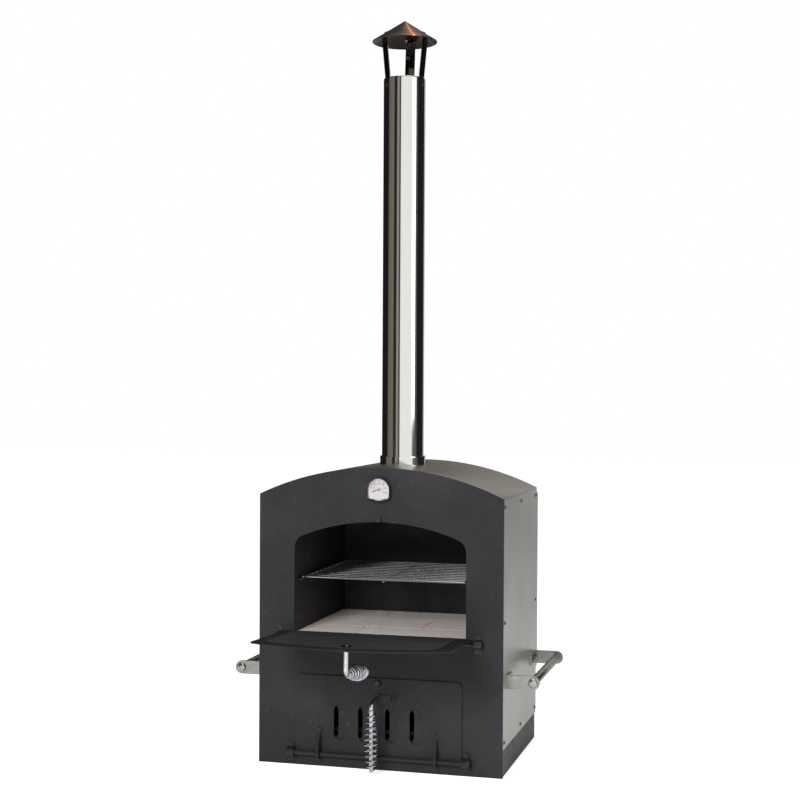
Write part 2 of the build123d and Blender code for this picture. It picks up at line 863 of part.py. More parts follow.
with BuildPart() as upper_door_liner:
    with BuildSketch(upper_plane.offset(skin_inner - sheet)):
        add(mouth_face(upper_liner_inset).moved(Location((0, -upper_hinge_height))))
        with Locations((0, upper_latch_pivot)):
            Circle(collar_ring_radius + upper_liner_hole_gap, mode=Mode.SUBTRACT)
    extrude(amount=sheet)

upper_door_ribs = door_ribs(upper_plane)
upper_hinge_rod = hinge_rod(upper_plane, upper_saddle_x)
upper_handle_rod = handle_rod(upper_plane, upper_latch_pivot, upper_grip_cant)
upper_handle_grip = handle_grip(upper_plane, upper_latch_pivot, upper_grip_cant)
upper_latch_lever = latch_lever(upper_plane, upper_latch_pivot)
upper_handle_ring = retaining_ring(upper_plane, upper_latch_pivot)

# ---- lower door ----
slot_row = slot_middle - lower_hinge_height
with BuildPart() as lower_door_skin:
    with BuildSketch(lower_plane.offset(skin_inner)):
        top = lower_door_top - lower_hinge_height
        with Locations((0, (top - door_heel) / 2)):
            RectangleRounded(2 * lower_door_half, top + door_heel, lower_door_corner)
        with Locations(*[(place, slot_row) for place in slot_places]):
            SlotOverall(slot_height, slot_width, rotation=90, mode=Mode.SUBTRACT)
        with Locations((0, lower_latch_pivot)):
            Circle(handle_rod_radius + running_gap, mode=Mode.SUBTRACT)
        with Locations((0, lower_latch_pivot + latch_reach)):
            Circle(catch_hole_radius, mode=Mode.SUBTRACT)
    extrude(amount=door_thick)

shutter_face = skin_inner - shutter_gap
with BuildPart() as air_shutter:
    with BuildSketch(lower_plane.offset(shutter_face - shutter_thick)):
        with Locations((shutter_rest_shift, slot_row)):
            Rectangle(2 * shutter_half, shutter_height)
        with Locations(*[(place + shutter_rest_shift, slot_row) for place in slot_places]):
            SlotOverall(shutter_slot_height, shutter_slot_width, rotation=90, mode=Mode.SUBTRACT)
    extrude(amount=shutter_thick)

with BuildPart() as shutter_guides:
    lip_face = shutter_face - shutter_thick - shutter_gap
    guide_inner = collar_ring_radius + guide_ring_gap
    for side in (-1, 1):
        edge = slot_row + side * (shutter_height / 2 + shutter_gap)
        for low, high in ((-guide_half, -guide_inner), (guide_inner, guide_half)):
            with BuildSketch(lower_plane * Plane.YZ.offset(low)):
                with BuildLine():
                    Polyline(
                        (edge, skin_inner),
                        (edge + side * guide_foot, skin_inner),
                        (edge + side * guide_foot, lip_face - guide_wall),
                        (edge - side * guide_lip, lip_face - guide_wall),
                        (edge - side * guide_lip, lip_face),
                        (edge, lip_face),
                        close=True,
                    )
                make_face()
            extrude(amount=high - low)

lower_door_ribs = door_ribs(lower_plane)
lower_hinge_rod = hinge_rod(lower_plane, lower_saddle_x)
lower_handle_rod = handle_rod(lower_plane, lower_latch_pivot, 0)
lower_handle_grip = handle_grip(lower_plane, lower_latch_pivot, 0)
lower_latch_lever = latch_lever(lower_plane, lower_latch_pivot)
lower_handle_ring = retaining_ring(lower_plane, lower_latch_pivot)

with BuildPart() as lower_rib_bolts:
    with BuildSketch(lower_plane.offset(skin_outer)):
        rib_bolt_y = rib_length + rib_bolt_step
        with Locations((-rib_spacing, rib_bolt_y), (rib_spacing, rib_bolt_y)):
            Circle(bolt_head_radius)
    extrude(amount=bolt_head_height)
    chamfer(lower_rib_bolts.edges().group_by(Axis.Y)[0], edge_chamfer)

# ---- carrying handles ----
with BuildPart() as carry_brackets:
    for side in (-1, 1):
        for end in (-1, 1):
            inner = end * (bracket_y - bracket_thick / 2)
            outer = end * (bracket_y + bracket_thick / 2)
            with BuildSketch(facing_front(max(inner, outer))):
                with Locations((side * (half_width + bar_x) / 2, bracket_z)):
                    Rectangle(bar_x - half_width, bracket_height)
                with Locations((side * bar_x, bracket_z)):
                    Circle(bracket_height / 2)
                    Circle(bar_screw_radius + running_gap, mode=Mode.SUBTRACT)
            extrude(amount=bracket_thick)
            with BuildSketch(Plane.YZ.offset(min(side * half_width, side * (half_width + bracket_thick)))):
                flange_y = inner - end * (bracket_flange - bracket_thick) / 2
                with Locations((flange_y, bracket_z)):
                    Rectangle(bracket_flange - bracket_thick, bracket_height)
                with Locations(*bracket_bolt_places):
                    Circle(bolt_radius + running_gap, mode=Mode.SUBTRACT)
            extrude(amount=bracket_thick)

bar_half = bracket_y - bracket_thick / 2
with BuildPart() as carry_bars:
    with BuildSketch(facing_front(bar_half)):
        with Locations((-bar_x, bracket_z), (bar_x, bracket_z)):
            Circle(bar_radius)
            Circle(bar_screw_radius, mode=Mode.SUBTRACT)
    extrude(amount=2 * bar_half)

screw_face = bracket_y + bracket_thick / 2
with BuildPart() as bar_screws:
    with BuildSketch(facing_front(screw_face + bar_screw_head)):
        with Locations((-bar_x, bracket_z), (bar_x, bracket_z)):
            Circle(bar_screw_head_radius)
    extrude(amount=bar_screw_head)
    with BuildSketch(facing_front(screw_face)):
        with Locations((-bar_x, bracket_z), (bar_x, bracket_z)):
            Circle(bar_screw_radius)
    extrude(amount=bar_screw_length)
    mirror(about=Plane.XZ)

with BuildPart() as bracket_bolts:
    with BuildSketch(Plane.YZ.offset(half_width - sheet)):
        with Locations(*bracket_bolt_places):
            Circle(bolt_radius)
    extrude(amount=sheet + bracket_thick)
    with BuildSketch(Plane.YZ.offset(half_width + bracket_thick)):
        with Locations(*bracket_bolt_places):
            RegularPolygon(bolt_head_radius, 6)
    extrude(amount=bolt_head_height)
    mirror(about=Plane.YZ)

# ---- casing screws: three rows on each side, one row low on the back ----
with BuildPart() as casing_screws:
    screw_y = back_y - casing_screw_edge
    low = casing_screw_low
    middle = casing_screw_middle
    high = wall_height - casing_screw_top_drop
    side_places = [(-screw_y, low), (0, low), (screw_y, low), (-screw_y, middle), (screw_y, middle)]
    side_places += [(-screw_y, high), (0, high), (screw_y, high)]
    with BuildSketch(Plane.YZ.offset(half_width)):
        with Locations(*side_places):
            Circle(casing_screw_radius)
    extrude(amount=casing_screw_head)
    mirror(about=Plane.YZ)
    with BuildSketch(facing_front(back_y + casing_screw_head)):
        with GridLocations(body_width / 2 - casing_screw_edge, 0, 3, 1):
            with Locations((0, low)):
                Circle(casing_screw_radius)
    extrude(amount=casing_screw_head)

pieces = {
    "base_tray": base_tray,
    "front_panel": front_panel,
    "left_side_panel": left_side_panel,
    "right_side_panel": right_side_panel,
    "roof_sheet": roof_sheet,
    "rear_panel": rear_panel,
    "rear_cover": rear_cover,
    "left_liner": left_liner,
    "right_liner": right_liner,
    "rear_liner": rear_liner,
    "crown_liner": crown_liner,
    "wall_insulation": wall_insulation,
    "crown_insulation": crown_insulation,
    "firebox_floor": firebox_floor,
    "liner_ledges": liner_ledges,
    "rack_rails": rack_rails,
    "hearth_shelf": hearth_shelf,
    "hearth_tiles": hearth_tiles,
    "fire_grate": fire_grate,
    "ash_pan": ash_pan,
    "cooking_rack": cooking_rack,
    "flue_collar": flue_collar,
    "chimney_pipe": chimney_pipe,
    "cap_cone": cap_cone,
    "cap_straps": cap_straps,
    "cap_rivets": cap_rivets,
    "thermometer_case": thermometer_case,
    "thermometer_dial": thermometer_dial,
    "thermometer_lens": thermometer_lens,
    "thermometer_needle": thermometer_needle,
    "thermometer_stem": thermometer_stem,
    "upper_hinge_saddles": upper_hinge_saddles,
    "lower_hinge_saddles": lower_hinge_saddles,
    "saddle_bolts": saddle_bolts,
    "catch_studs": catch_studs,
    "upper_door_skin": upper_door_skin,
    "upper_door_liner": upper_door_liner,
    "upper_door_ribs": upper_door_ribs,
    "upper_hinge_rod": upper_hinge_rod,
    "upper_handle_rod": upper_handle_rod,
    "upper_handle_grip": upper_handle_grip,
    "upper_latch_lever": upper_latch_lever,
    "upper_handle_ring": upper_handle_ring,
    "lower_door_skin": lower_door_skin,
    "lower_door_ribs": lower_door_ribs,
    "lower_rib_bolts": lower_rib_bolts,
    "lower_hinge_rod": lower_hinge_rod,
    "shutter_guides": shutter_guides,
    "air_shutter": air_shutter,
    "lower_handle_rod": lower_handle_rod,
    "lower_handle_grip": lower_handle_grip,
    "lower_latch_lever": lower_latch_lever,
    "lower_handle_ring": lower_handle_ring,
    "carry_brackets": carry_brackets,
    "carry_bars": carry_bars,
    "bar_screws": bar_screws,
    "bracket_bolts": bracket_bolts,
    "casing_screws": casing_screws,
}

os.makedirs("parts", exist_ok=True)
for name, piece in pieces.items():
    piece.part.label = name
    export_step(piece.part, f"parts/{name}.step")
print("pieces written:", len(pieces))
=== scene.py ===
import json
import math
import bmesh
import bpy
from mathutils import Matrix, Vector


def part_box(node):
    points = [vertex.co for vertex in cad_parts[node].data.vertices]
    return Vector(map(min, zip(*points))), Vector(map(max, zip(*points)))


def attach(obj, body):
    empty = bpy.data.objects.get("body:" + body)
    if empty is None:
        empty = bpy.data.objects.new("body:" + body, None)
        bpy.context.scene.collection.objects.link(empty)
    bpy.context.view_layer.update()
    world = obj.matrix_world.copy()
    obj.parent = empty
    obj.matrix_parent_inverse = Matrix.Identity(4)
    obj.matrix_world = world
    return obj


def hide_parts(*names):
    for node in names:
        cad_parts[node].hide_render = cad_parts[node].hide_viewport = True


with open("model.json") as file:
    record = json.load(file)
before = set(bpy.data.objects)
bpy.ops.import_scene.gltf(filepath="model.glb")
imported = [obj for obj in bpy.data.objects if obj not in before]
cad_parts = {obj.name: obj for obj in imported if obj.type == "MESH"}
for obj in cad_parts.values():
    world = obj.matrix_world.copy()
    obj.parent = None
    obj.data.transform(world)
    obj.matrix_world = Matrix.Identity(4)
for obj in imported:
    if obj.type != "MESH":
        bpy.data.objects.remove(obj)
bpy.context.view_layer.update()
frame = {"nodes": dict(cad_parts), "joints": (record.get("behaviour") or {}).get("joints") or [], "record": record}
nodes = frame["nodes"]
joints = {joint["name"]: joint for joint in frame["joints"]}
bodyOf = {node: body for body, members in frame["record"]["behaviour"]["bodies"].items() for node in members}
slotOf = {entry["node"]: entry["material_slot"] for entry in frame["record"]["subparts"]}
mm = 0.001
weld = 0.001 * mm    # points nearer than this are one
crease = math.radians(32)    # edges sharper than this break the shading
ease = 0.3    # where a rounded lip's middle point lies, as a share of its size
scene = bpy.context.scene
scene.view_settings.view_transform = "Standard"
print("frame loaded:", len(nodes), "nodes")

# camera
shot = {
    "eye": (0.748, -2.824, 0.701),
    "yaw": 14.98,        # degrees to the left of straight ahead
    "pitch": 0.58,       # degrees down
    "roll": 0.29,
    "lens": 68.4,
    "clipEnd": 50,
}


def placeCamera():
    yaw, pitch, roll = (math.radians(shot[key]) for key in ("yaw", "pitch", "roll"))
    forward = Vector((-math.sin(yaw) * math.cos(pitch), math.cos(yaw) * math.cos(pitch), -math.sin(pitch)))
    right = Vector((math.cos(yaw), math.sin(yaw), 0))
    up = right.cross(forward)
    turnedRight = math.cos(roll) * right + math.sin(roll) * up
    turnedUp = turnedRight.cross(forward)
    turn = Matrix((turnedRight, turnedUp, -forward)).transposed()
    lens = bpy.data.cameras.new("studioCamera")
    lens.lens = shot["lens"]
    lens.clip_end = shot["clipEnd"]
    camera = bpy.data.objects.new("studioCamera", lens)
    camera.matrix_world = Matrix.Translation(shot["eye"]) @ turn.to_4x4()
    scene.collection.objects.link(camera)
    scene.camera = camera


class Finish:
    # a node material whose colour, roughness and bump are built up step by step
    def __init__(self, name, colour, roughness, metallic=0.0, **sockets):
        self.material = bpy.data.materials.new(name)
        self.material.use_nodes = True
        self.tree = self.material.node_tree
        self.shader = self.tree.nodes["Principled BSDF"]
        self.shader.inputs["Base Color"].default_value = (*colour, 1)
        self.shader.inputs["Roughness"].default_value = roughness
        self.shader.inputs["Metallic"].default_value = metallic
        for key, value in sockets.items():
            self.shader.inputs[key].default_value = value
        self.coordinates = self.node("ShaderNodeTexCoord").outputs["Object"]
        self.lastNormal = None

    def node(self, kind, settings=(), **links):
        made = self.tree.nodes.new(kind)
        for key, value in dict(settings).items():
            if hasattr(made, key):
                setattr(made, key, value)
            else:
                made.inputs[key].default_value = value
        for key, source in links.items():
            self.tree.links.new(source, made.inputs[key])
        return made

    def stretched(self, scale):
        made = self.node("ShaderNodeMapping", Vector=self.coordinates)
        made.inputs["Scale"].default_value = scale
        return made.outputs["Vector"]

    def noise(self, scale, detail=3, rough=0.5, stretch=(1, 1, 1)):
        settings = {"Scale": scale, "Detail": detail, "Roughness": rough}
        return self.node("ShaderNodeTexNoise", settings, Vector=self.stretched(stretch)).outputs["Fac"]

    def cells(self, scale, feature="F1", stretch=(1, 1, 1)):
        settings = {"feature": feature, "Scale": scale}
        return self.node("ShaderNodeTexVoronoi", settings, Vector=self.stretched(stretch)).outputs["Distance"]

    def along(self, axis):
        return self.node("ShaderNodeSeparateXYZ", Vector=self.coordinates).outputs[axis]

    def spread(self, source, low, high, toLow=0.0, toHigh=1.0):
        settings = {"From Min": low, "From Max": high, "To Min": toLow, "To Max": toHigh}
        return self.node("ShaderNodeMapRange", settings, Value=source).outputs["Result"]

    def combine(self, operation, *values):
        made = self.node("ShaderNodeMath", {"operation": operation})
        for index, value in enumerate(values):
            if isinstance(value, (int, float)):
                made.inputs[index].default_value = value
            else:
                self.tree.links.new(value, made.inputs[index])
        return made.outputs[0]

    def tint(self, source, colour, amount=1.0):
        # mixes a colour into the base by a 0 to 1 pattern; sockets 6 and 7 and output 2 are the colour ones
        mix = self.node("ShaderNodeMix", {"data_type": "RGBA"})
        self.tree.links.new(self.combine("MULTIPLY", source, amount), mix.inputs["Factor"])
        base = self.shader.inputs["Base Color"]
        if base.links:
            self.tree.links.new(base.links[0].from_socket, mix.inputs[6])
        else:
            mix.inputs[6].default_value = base.default_value
        mix.inputs[7].default_value = (*colour, 1)
        self.tree.links.new(mix.outputs[2], base)
        return self

    def gloss(self, source, low, high):
        self.tree.links.new(self.spread(source, 0.25, 0.75, low, high), self.shader.inputs["Roughness"])
        return self

    def bump(self, source, distance, strength=1.0):
        made = self.node("ShaderNodeBump", {"Strength": strength, "Distance": distance}, Height=source)
        if self.lastNormal:
            self.tree.links.new(self.lastNormal, made.inputs["Normal"])
        self.lastNormal = made.outputs["Normal"]
        self.tree.links.new(self.lastNormal, self.shader.inputs["Normal"])
        return self


# finishes of the metal sheets
def texturedBlack():
    # hammered powder coat: small soft dimples, a little dust and wear
    finish = Finish("texturedBlack", (0.016, 0.0155, 0.018), 0.5, **{"Specular IOR Level": 0.22})
    dimples = finish.cells(420, feature="SMOOTH_F1")
    finish.tint(finish.spread(dimples, 0.25, 0.6), (0.025, 0.0245, 0.028), 0.7)
    finish.tint(finish.spread(finish.noise(6, detail=5), 0.48, 0.72), (0.036, 0.034, 0.036), 0.55)
    finish.tint(finish.spread(finish.noise(55, detail=4), 0.66, 0.76), (0.055, 0.053, 0.053), 0.45)
    # the upper door, out past the hinge rods, is painted darker
    hingeRods = -195 * mm
    finish.tint(finish.spread(finish.along("Y"), hingeRods, hingeRods - 5 * mm), (0.007, 0.007, 0.008), 0.7)
    finish.gloss(finish.noise(14, detail=3), 0.40, 0.56)
    return finish.bump(dimples, 0.0008, 0.5).bump(finish.noise(1500, detail=2), 0.0002, 0.5).material


def satinSteel():
    # rolled stainless sheet with a faint upright grain and finger marks
    finish = Finish("satinSteel", (0.43, 0.42, 0.395), 0.34, 1.0)
    grainLines = finish.noise(420, detail=3, rough=0.6, stretch=(1, 1, 0.03))
    finish.tint(finish.spread(grainLines, 0.35, 0.7), (0.50, 0.49, 0.46), 0.5)
    finish.tint(finish.spread(finish.noise(3.2, detail=4), 0.45, 0.72), (0.36, 0.34, 0.305), 0.45)
    finish.tint(finish.spread(finish.noise(30, detail=5), 0.62, 0.78), (0.33, 0.315, 0.29), 0.35)
    # the upright sheets are painted paler, as painted light, and the roof above the eaves browner, as a painted
    # reflection
    eaves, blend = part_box("right_side_panel")[1].z, 2 * mm
    height = finish.along("Z")
    finish.tint(finish.spread(height, eaves + blend, eaves - blend), (0.60, 0.59, 0.57), 0.55)
    finish.tint(finish.spread(height, eaves - blend, eaves + blend), (0.36, 0.33, 0.29), 0.45)
    finish.gloss(finish.noise(9, detail=4), 0.27, 0.40)
    return finish.bump(grainLines, 0.00006, 0.6).bump(finish.noise(5, detail=1), 0.002, 0.10).material


def mirrorSteel():
    # polished tube, gently out of true, with a few rub marks
    finish = Finish("mirrorSteel", (0.78, 0.77, 0.75), 0.06, 1.0)
    haze = finish.noise(5, detail=3, stretch=(1, 1, 0.3))
    finish.tint(finish.spread(haze, 0.45, 0.75), (0.66, 0.64, 0.61), 0.4)
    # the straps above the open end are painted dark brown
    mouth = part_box("chimney_pipe")[1].z
    finish.tint(finish.spread(finish.along("Z"), mouth - 4 * mm, mouth + 6 * mm), (0.10, 0.085, 0.075), 0.85)
    finish.gloss(finish.noise(90, detail=4, stretch=(1, 1, 0.12)), 0.035, 0.11)
    return finish.bump(finish.noise(7, detail=1, stretch=(1, 1, 0.25)), 0.001, 0.3).material


def darkBase():
    # brown black paint, rough and a little worn
    finish = Finish("darkBase", (0.060, 0.054, 0.046), 0.5, 0.25)
    finish.tint(finish.spread(finish.noise(14, detail=5), 0.42, 0.7), (0.085, 0.077, 0.066), 0.6)
    finish.tint(finish.spread(finish.cells(480), 0.1, 0.5), (0.06, 0.054, 0.047), 0.4)
    finish.gloss(finish.noise(30), 0.42, 0.6)
    return finish.bump(finish.cells(520, feature="SMOOTH_F1"), 0.0006, 0.5).material


def tintedCap():
    # steel browned by smoke, with a straw coloured painted highlight down one side
    finish = Finish("tintedCap", (0.020, 0.013, 0.010), 0.3, 0.3, **{"Specular IOR Level": 0.3})
    flue = (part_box("chimney_pipe")[0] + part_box("chimney_pipe")[1]) / 2
    highlightBearing = -1.06    # radians round the flue, from +X
    around = finish.combine("ARCTAN2", finish.combine("SUBTRACT", finish.along("Y"), flue.y), finish.along("X"))
    wander = finish.spread(finish.noise(40, detail=3), 0.3, 0.7, -0.05, 0.05)
    beside = finish.combine("ADD", finish.combine("SUBTRACT", around, highlightBearing), wander)
    offset = finish.combine("ABSOLUTE", beside)
    stains = finish.noise(26, detail=4, stretch=(1, 1, 0.5))
    finish.tint(finish.spread(stains, 0.45, 0.7), (0.032, 0.021, 0.016), 0.8)
    # painted highlight: a brown glow and a straw line at a fixed angle round the flue
    finish.tint(finish.spread(offset, 0.34, 0.08), (0.24, 0.055, 0.008), 0.8)
    finish.tint(finish.spread(offset, 0.075, 0.02), (0.66, 0.27, 0.07), 0.9)
    finish.gloss(finish.noise(40, detail=4), 0.16, 0.34)
    return finish.bump(finish.noise(120, detail=3), 0.0003, 0.25).material


# finishes of the bright wires, bars and screws
def brightWire():
    finish = Finish("brightWire", (0.62, 0.63, 0.65), 0.2, 1.0)
    finish.tint(finish.spread(finish.noise(110, detail=4), 0.5, 0.72), (0.46, 0.465, 0.48), 0.45)
    # painted shade: the rack, inside the chamber, is painted duller than the grips outside
    doorway = -170 * mm
    finish.tint(finish.spread(finish.along("Y"), doorway, doorway + 10 * mm), (0.42, 0.42, 0.435), 0.7)
    finish.gloss(finish.noise(170, detail=3), 0.16, 0.28)
    return finish.bump(finish.noise(420, detail=2), 0.0001, 0.3).material


def brightBar():
    # galvanised steel with a fine spangle
    finish = Finish("brightBar", (0.31, 0.31, 0.288), 0.32, 1.0)
    speckle = finish.cells(620, stretch=(1, 0.6, 1))
    finish.tint(finish.spread(speckle, 0.2, 0.6), (0.38, 0.38, 0.355), 0.5)
    finish.tint(finish.spread(finish.noise(45, detail=5), 0.55, 0.75), (0.22, 0.21, 0.185), 0.4)
    finish.gloss(finish.noise(80, detail=4), 0.2, 0.38)
    return finish.bump(speckle, 0.0002, 0.4).material


def steelScrews():
    # dull zinc on the casing, brighter out on the carrying bars
    finish = Finish("steelScrews", (0.10, 0.098, 0.094), 0.3, 1.0)
    sideways, besideCasing = finish.combine("ABSOLUTE", finish.along("X")), 245 * mm
    finish.tint(finish.spread(sideways, besideCasing, besideCasing + 15 * mm), (0.50, 0.50, 0.49))
    finish.tint(finish.spread(finish.noise(260, detail=4), 0.5, 0.7), (0.16, 0.155, 0.15), 0.4)
    finish.gloss(finish.noise(400, detail=2), 0.18, 0.36)
    return finish.bump(finish.noise(900, detail=2), 0.0001, 0.3).material


def blackScrews():
    finish = Finish("blackScrews", (0.022, 0.022, 0.024), 0.36, 0.4)
    finish.tint(finish.spread(finish.noise(380, detail=3), 0.58, 0.75), (0.085, 0.084, 0.082), 0.5)
    finish.gloss(finish.noise(300, detail=2), 0.28, 0.48)
    return finish.bump(finish.noise(800, detail=2), 0.00015, 0.4).material


# finishes of the inside
def sootedLiner():
    finish = Finish("sootedLiner", (0.014, 0.0138, 0.0142), 0.7)
    finish.tint(finish.spread(finish.noise(8, detail=6), 0.42, 0.72), (0.026, 0.025, 0.025), 0.8)
    finish.tint(finish.spread(finish.noise(60, detail=5), 0.6, 0.75), (0.010, 0.009, 0.009), 0.7)
    finish.gloss(finish.noise(22, detail=4), 0.55, 0.85)
    return finish.bump(finish.noise(240, detail=4), 0.0005, 0.5).material


def firebrick():
    # cast stone: pinkish cream with dark and pale grit
    finish = Finish("firebrick", (0.58, 0.525, 0.49), 0.9)
    finish.tint(finish.spread(finish.noise(11, detail=6), 0.44, 0.66), (0.60, 0.495, 0.455), 0.8)
    finish.tint(finish.spread(finish.noise(90, detail=4), 0.5, 0.7), (0.70, 0.67, 0.63), 0.5)
    finish.tint(finish.spread(finish.cells(150), 0.24, 0.10), (0.15, 0.125, 0.11), 0.85)
    finish.tint(finish.spread(finish.cells(190, stretch=(1.4, 1, 1)), 0.2, 0.1), (0.82, 0.79, 0.75), 0.85)
    return finish.bump(finish.noise(480, detail=4), 0.0008, 0.6).bump(finish.cells(230), 0.0006, 0.3).material


def ironGrate():
    finish = Finish("ironGrate", (0.038, 0.037, 0.037), 0.62, 0.5)
    finish.tint(finish.spread(finish.noise(28, detail=5), 0.5, 0.74), (0.105, 0.060, 0.038), 0.5)
    finish.gloss(finish.noise(60, detail=3), 0.5, 0.75)
    return finish.bump(finish.noise(330, detail=4), 0.0008, 0.6).material


def mineralWool():
    finish = Finish("mineralWool", (0.55, 0.49, 0.33), 0.95)
    fibres = finish.noise(160, detail=6, stretch=(1, 1, 4))
    finish.tint(finish.spread(fibres, 0.4, 0.7), (0.70, 0.64, 0.47), 0.8)
    return finish.bump(finish.noise(220, detail=6, stretch=(1, 1, 5)), 0.002, 0.8).material


# finishes of the thermometer
def gaugeBlack():
    finish = Finish("gaugeBlack", (0.020, 0.020, 0.022), 0.28, 0.3)
    finish.tint(finish.spread(finish.noise(260, detail=3), 0.6, 0.8), (0.06, 0.06, 0.062), 0.4)
    finish.gloss(finish.noise(300, detail=3), 0.20, 0.36)
    return finish.bump(finish.noise(700), 0.0001, 0.3).material


def gaugeFace():
    finish = Finish("gaugeFace", (0.60, 0.60, 0.61), 0.4)
    finish.tint(finish.spread(finish.noise(60, detail=3), 0.5, 0.8), (0.52, 0.51, 0.50), 0.4)
    return finish.bump(finish.noise(900), 0.00005, 0.2).material


def gaugeRed():
    finish = Finish("gaugeRed", (0.42, 0.025, 0.022), 0.35)
    finish.tint(finish.spread(finish.noise(500), 0.5, 0.8), (0.30, 0.018, 0.015), 0.5)
    return finish.gloss(finish.noise(300), 0.3, 0.42).material


def gaugeGlass():
    finish = Finish("gaugeGlass", (1, 1, 1), 0.02, **{"Transmission Weight": 1.0, "IOR": 1.45})
    return finish.gloss(finish.noise(30, detail=3), 0.01, 0.04).material


finishes = {
    "textured_black": texturedBlack, "satin_steel": satinSteel, "mirror_steel": mirrorSteel,
    "dark_base": darkBase, "tinted_cap": tintedCap, "bright_wire": brightWire, "bright_bar": brightBar,
    "steel_screws": steelScrews, "black_screws": blackScrews, "sooted_liner": sootedLiner,
    "firebrick": firebrick, "iron_grate": ironGrate, "mineral_wool": mineralWool,
    "gauge_black": gaugeBlack, "gauge_face": gaugeFace, "gauge_red": gaugeRed, "gauge_glass": gaugeGlass,
}
materials = {slot: make() for slot, make in finishes.items()}
for nodeName, holder in nodes.items():
    holder.data.materials.clear()
    holder.data.materials.append(materials[slotOf[nodeName]])
print("finishes made:", len(materials))

# floor, lamps and the studio round the oven
studio = {
    "worldStrength": 0.40,
    "floorColour": (0.93, 0.93, 0.93),
    "floorLift": 0.64,      # what the camera sees added to the lit floor
    "floorSize": 12.0,
    "lamps": [   # name, place, aim, size across and up, watts, whether metal mirrors it
        ("keySoftbox", (-0.5, -3.3, 1.75), (0, 0, 0.4), (1.2, 1.0), 130, False),
        ("fillSoftbox", (2.9, -1.0, 1.5), (0, 0, 0.4), (1.2, 2.0), 14, True),
        ("topSoftbox", (0.3, 0.4, 3.2), (0, 0, 0.6), (1.8, 1.4), 16, True),
    ],
}
surround = {    # the room that bright metal mirrors
    "radius": 5.0,
    "height": 9.0,
    "steps": 96,
    "bands": [  # compass angle from +X in degrees, colour there
        (-180, (0.012, 0.012, 0.013)),
        (-170, (0.012, 0.012, 0.013)),
        (-166, (0.15, 0.13, 0.105)),
        (-134, (0.20, 0.175, 0.145)),
        (-130, (0.02, 0.019, 0.017)),
        (-116, (0.03, 0.028, 0.025)),
        (-112, (0.36, 0.34, 0.31)),
        (-103, (0.30, 0.28, 0.25)),
        (-100, (0.03, 0.03, 0.03)),
        (-95, (0.05, 0.05, 0.05)),
        (-92, (1.0, 1.0, 1.0)),
        (-28, (1.0, 1.0, 1.0)),
        (-22, (0.14, 0.14, 0.15)),
        (3, (0.08, 0.08, 0.09)),
        (8, (0.012, 0.012, 0.016)),
        (66, (0.02, 0.02, 0.024)),
        (73, (0.56, 0.56, 0.545)),
        (89, (0.50, 0.49, 0.465)),
        (98, (0.17, 0.155, 0.13)),
        (114, (0.08, 0.07, 0.055)),
        (122, (0.012, 0.012, 0.013)),
        (180, (0.012, 0.012, 0.013)),
    ],
}


def seenBy(tree, *kinds):
    # 1 for rays from the camera and for the other kinds of ray named
    path = tree.nodes.new("ShaderNodeLightPath")
    total = path.outputs["Is Camera Ray"]
    for kind in kinds:
        larger = tree.nodes.new("ShaderNodeMath")
        larger.operation = "MAXIMUM"
        tree.links.new(total, larger.inputs[0])
        tree.links.new(path.outputs[kind], larger.inputs[1])
        total = larger.outputs[0]
    return total


def lightWorld():
    world = bpy.data.worlds.new("studioWorld")
    scene.world = world
    world.use_nodes = True
    tree = world.node_tree
    sky = tree.nodes["Background"]
    sky.inputs["Color"].default_value = (1, 1, 1, 1)
    strength = tree.nodes.new("ShaderNodeMapRange")
    strength.inputs["To Min"].default_value = studio["worldStrength"]
    strength.inputs["To Max"].default_value = 1.0
    tree.links.new(seenBy(tree, "Is Glossy Ray", "Is Transmission Ray"), strength.inputs["Value"])
    tree.links.new(strength.outputs["Result"], sky.inputs["Strength"])


def hangLamps():
    for name, place, aim, size, watts, mirrored in studio["lamps"]:
        lamp = bpy.data.lights.new(name, "AREA")
        lamp.shape = "RECTANGLE"
        lamp.size, lamp.size_y = size
        lamp.energy = watts
        holder = bpy.data.objects.new(name, lamp)
        holder.location = place
        holder.rotation_euler = (Vector(aim) - Vector(place)).to_track_quat("-Z", "Y").to_euler()
        holder.visible_glossy = mirrored
        scene.collection.objects.link(holder)


def meshObject(name, bm, smooth=True):
    # smooth None keeps each face's own shading
    if smooth is not None:
        for face in bm.faces:
            face.smooth = smooth
    for edge in bm.edges:
        edge.smooth = edge.calc_face_angle(0) <= crease
    mesh = bpy.data.meshes.new(name)
    bm.to_mesh(mesh)
    bm.free()
    if "custom_normal" in mesh.attributes:   # the node's own shading, which no longer fits
        mesh.attributes.remove(mesh.attributes["custom_normal"])
    piece = bpy.data.objects.new(name, mesh)
    scene.collection.objects.link(piece)
    return piece


def layFloor():
    bm = bmesh.new()
    bmesh.ops.create_grid(bm, x_segments=1, y_segments=1, size=studio["floorSize"])
    floor = meshObject("studioFloor", bm, smooth=False)
    finish = Finish("floorFinish", studio["floorColour"], 0.8)
    finish.tint(finish.noise(2), (0.92, 0.92, 0.92), 0.3)
    finish.shader.inputs["Emission Color"].default_value = (1, 1, 1, 1)
    lift = finish.combine("MULTIPLY", seenBy(finish.tree, "Is Transmission Ray"), studio["floorLift"])
    finish.tree.links.new(lift, finish.shader.inputs["Emission Strength"])
    floor.data.materials.append(finish.material)


